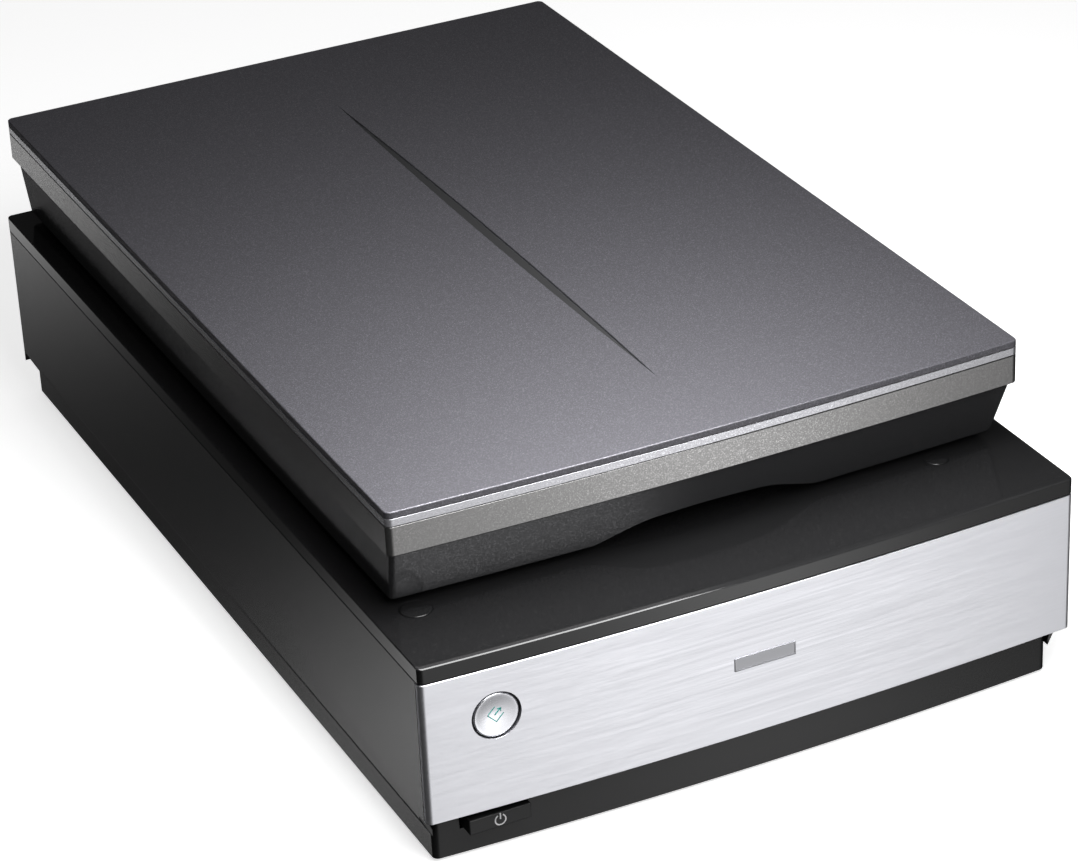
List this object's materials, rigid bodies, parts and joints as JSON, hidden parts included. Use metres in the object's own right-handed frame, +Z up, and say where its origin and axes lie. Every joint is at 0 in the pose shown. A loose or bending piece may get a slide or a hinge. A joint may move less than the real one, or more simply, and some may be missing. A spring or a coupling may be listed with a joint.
{
  "type": "flatbed scanner",
  "caption": "Wide flatbed photo scanner: glass platen under a thick lifting lid with its own film lamp, gloss black frame, bowed brushed front with a round button, dark plinth.",
  "frame": {"origin": "centre of the footprint, on the surface that the feet stand on", "axes": "+Z up, -Y the front with the buttons, +Y the hinge side, +X to the right seen from the front"},
  "size_m": [0.308, 0.503, 0.1525],
  "materials": {
    "gloss_black": "high gloss moulded black",
    "satin_charcoal": "satin moulded charcoal",
    "matt_black": "fine grained matt black",
    "brushed_aluminium": "horizontal brushed grain",
    "graphite_paint": "graphite metallic paint on plastic",
    "silver_paint": "light silver paint on plastic",
    "grey_paint": "satin grey metallic paint on plastic",
    "platen_glass": "clear float glass",
    "white_plastic": "matt white",
    "rubber": "matt black rubber",
    "steel": "ground steel",
    "galvanised": "galvanised sheet steel",
    "acetal": "natural acetal",
    "bronze": "sintered bronze",
    "mirror": "front-silvered mirror",
    "circuit": "green solder mask",
    "lamp_white": "opal light guide"
  },
  "bodies": {
    "base": {"lower_case": "matt_black", "top_frame": "gloss_black", "screw_cap_left": "gloss_black", "screw_cap_right": "gloss_black", "side_panel_left": "satin_charcoal", "side_panel_right": "satin_charcoal", "rear_panel": "satin_charcoal", "power_inlet": "matt_black", "usb_port": "matt_black", "lid_cable_port": "matt_black", "front_fascia": "brushed_aluminium", "fascia_carrier": "matt_black", "platen_glass": "platen_glass", "calibration_strip": "white_plastic", "rubber_foot_front_left": "rubber", "rubber_foot_front_right": "rubber", "rubber_foot_rear_left": "rubber", "rubber_foot_rear_right": "rubber", "button_board": "circuit", "guide_rod": "steel", "slide_rail": "galvanised", "drive_motor": "steel", "drive_belt": "rubber", "idler_bracket": "galvanised", "tension_spring": "steel", "main_board": "circuit"},
    "hinge_posts": {"hinge_post_left": "matt_black", "hinge_post_right": "matt_black"},
    "lid": {"lid_top_cover": "graphite_paint", "lid_trim_strip": "silver_paint", "lid_band": "grey_paint", "lid_lower_cover": "matt_black", "lid_window": "white_plastic", "hinge_bracket_left": "galvanised", "hinge_bracket_right": "galvanised", "hinge_pin_left": "steel", "hinge_pin_right": "steel", "film_lamp_rod": "steel", "film_lamp_motor": "steel", "film_lamp_belt": "rubber"},
    "film_lamp": {"film_lamp_housing": "matt_black"},
    "film_lamp_pulley": {"film_lamp_pulley": "acetal"},
    "film_lamp_idler": {"film_lamp_idler": "acetal"},
    "document_mat": {"document_mat": "white_plastic"},
    "lid_lock": {"lid_lock": "satin_charcoal"},
    "scan_carriage": {"carriage_housing": "matt_black", "carriage_bush_front": "bronze", "carriage_bush_rear": "bronze", "carriage_lamp_front": "lamp_white", "carriage_lamp_rear": "lamp_white", "carriage_mirror": "mirror", "lens_high_resolution": "matt_black", "lens_standard": "matt_black", "sensor_board": "circuit"},
    "reduction_gear": {"reduction_gear": "acetal"},
    "motor_pinion": {"motor_pinion": "bronze"},
    "idler_pulley": {"idler_pulley": "acetal"},
    "carriage_lock": {"carriage_lock": "satin_charcoal"},
    "start_button": {"start_button": "brushed_aluminium"},
    "power_button": {"power_button": "gloss_black"}
  },
  "joints": [
    {"name": "lid_lift", "type": "slide", "parent": "base", "child": "hinge_posts", "axis": [0, 0, 1], "range_m": [0, 0.028]},
    {"name": "lid_hinge", "type": "hinge", "parent": "hinge_posts", "child": "lid", "pos_m": [0, 0.236, 0.118], "axis": [-1, 0, 0], "range_deg": [0, 85]},
    {"name": "film_lamp_travel", "type": "slide", "parent": "lid", "child": "film_lamp", "axis": [0, -1, 0], "range_m": [0, 0.27]},
    {"name": "film_lamp_pulley_spin", "type": "hinge", "parent": "lid", "child": "film_lamp_pulley", "pos_m": [0.126, -0.175, 0.1265], "axis": [0, 0, 1], "range_deg": [0, 2456]},
    {"name": "film_lamp_idler_spin", "type": "hinge", "parent": "lid", "child": "film_lamp_idler", "pos_m": [0.126, 0.2045, 0.1265], "axis": [0, 0, 1], "range_deg": [0, 2456]},
    {"name": "document_mat_slide", "type": "slide", "parent": "lid", "child": "document_mat", "axis": [0, -1, 0], "range_m": [0, 0.06]},
    {"name": "lid_lock_turn", "type": "hinge", "parent": "lid", "child": "lid_lock", "pos_m": [0.132, -0.12, 0.108], "axis": [0, 0, 1], "range_deg": [0, 90]},
    {"name": "carriage_travel", "type": "slide", "parent": "base", "child": "scan_carriage", "axis": [0, -1, 0], "range_m": [0, 0.295]},
    {"name": "reduction_gear_spin", "type": "hinge", "parent": "base", "child": "reduction_gear", "pos_m": [0.0212, -0.19, 0.03], "axis": [0, 0, 1], "range_deg": [-1921, 0]},
    {"name": "motor_pinion_spin", "type": "hinge", "parent": "base", "child": "motor_pinion", "pos_m": [0.05, -0.19, 0.026], "axis": [0, 0, 1], "range_deg": [0, 9605]},
    {"name": "idler_pulley_spin", "type": "hinge", "parent": "base", "child": "idler_pulley", "pos_m": [0.0212, 0.222, 0.035], "axis": [0, 0, 1], "range_deg": [-1921, 0]},
    {"name": "carriage_lock_turn", "type": "hinge", "parent": "base", "child": "carriage_lock", "pos_m": [-0.132, 0.06, 0.096], "axis": [0, 0, 1], "range_deg": [0, 90]},
    {"name": "start_button_press", "type": "slide", "parent": "base", "child": "start_button", "axis": [0, 1, 0], "range_m": [0, 0.0015], "stiffness_N_per_m": 900, "springref_m": -0.001},
    {"name": "power_button_press", "type": "slide", "parent": "base", "child": "power_button", "axis": [0, 1, 0], "range_m": [0, 0.0012], "stiffness_N_per_m": 900, "springref_m": -0.001}
  ],
  "couplings": [
    {"joint": "reduction_gear_spin", "follows": "carriage_travel", "rad_per_m": -113.64},
    {"joint": "motor_pinion_spin", "follows": "carriage_travel", "rad_per_m": 568.18},
    {"joint": "idler_pulley_spin", "follows": "carriage_travel", "rad_per_m": -113.64},
    {"joint": "film_lamp_pulley_spin", "follows": "film_lamp_travel", "rad_per_m": 158.73},
    {"joint": "film_lamp_idler_spin", "follows": "film_lamp_travel", "rad_per_m": 158.73}
  ]
}
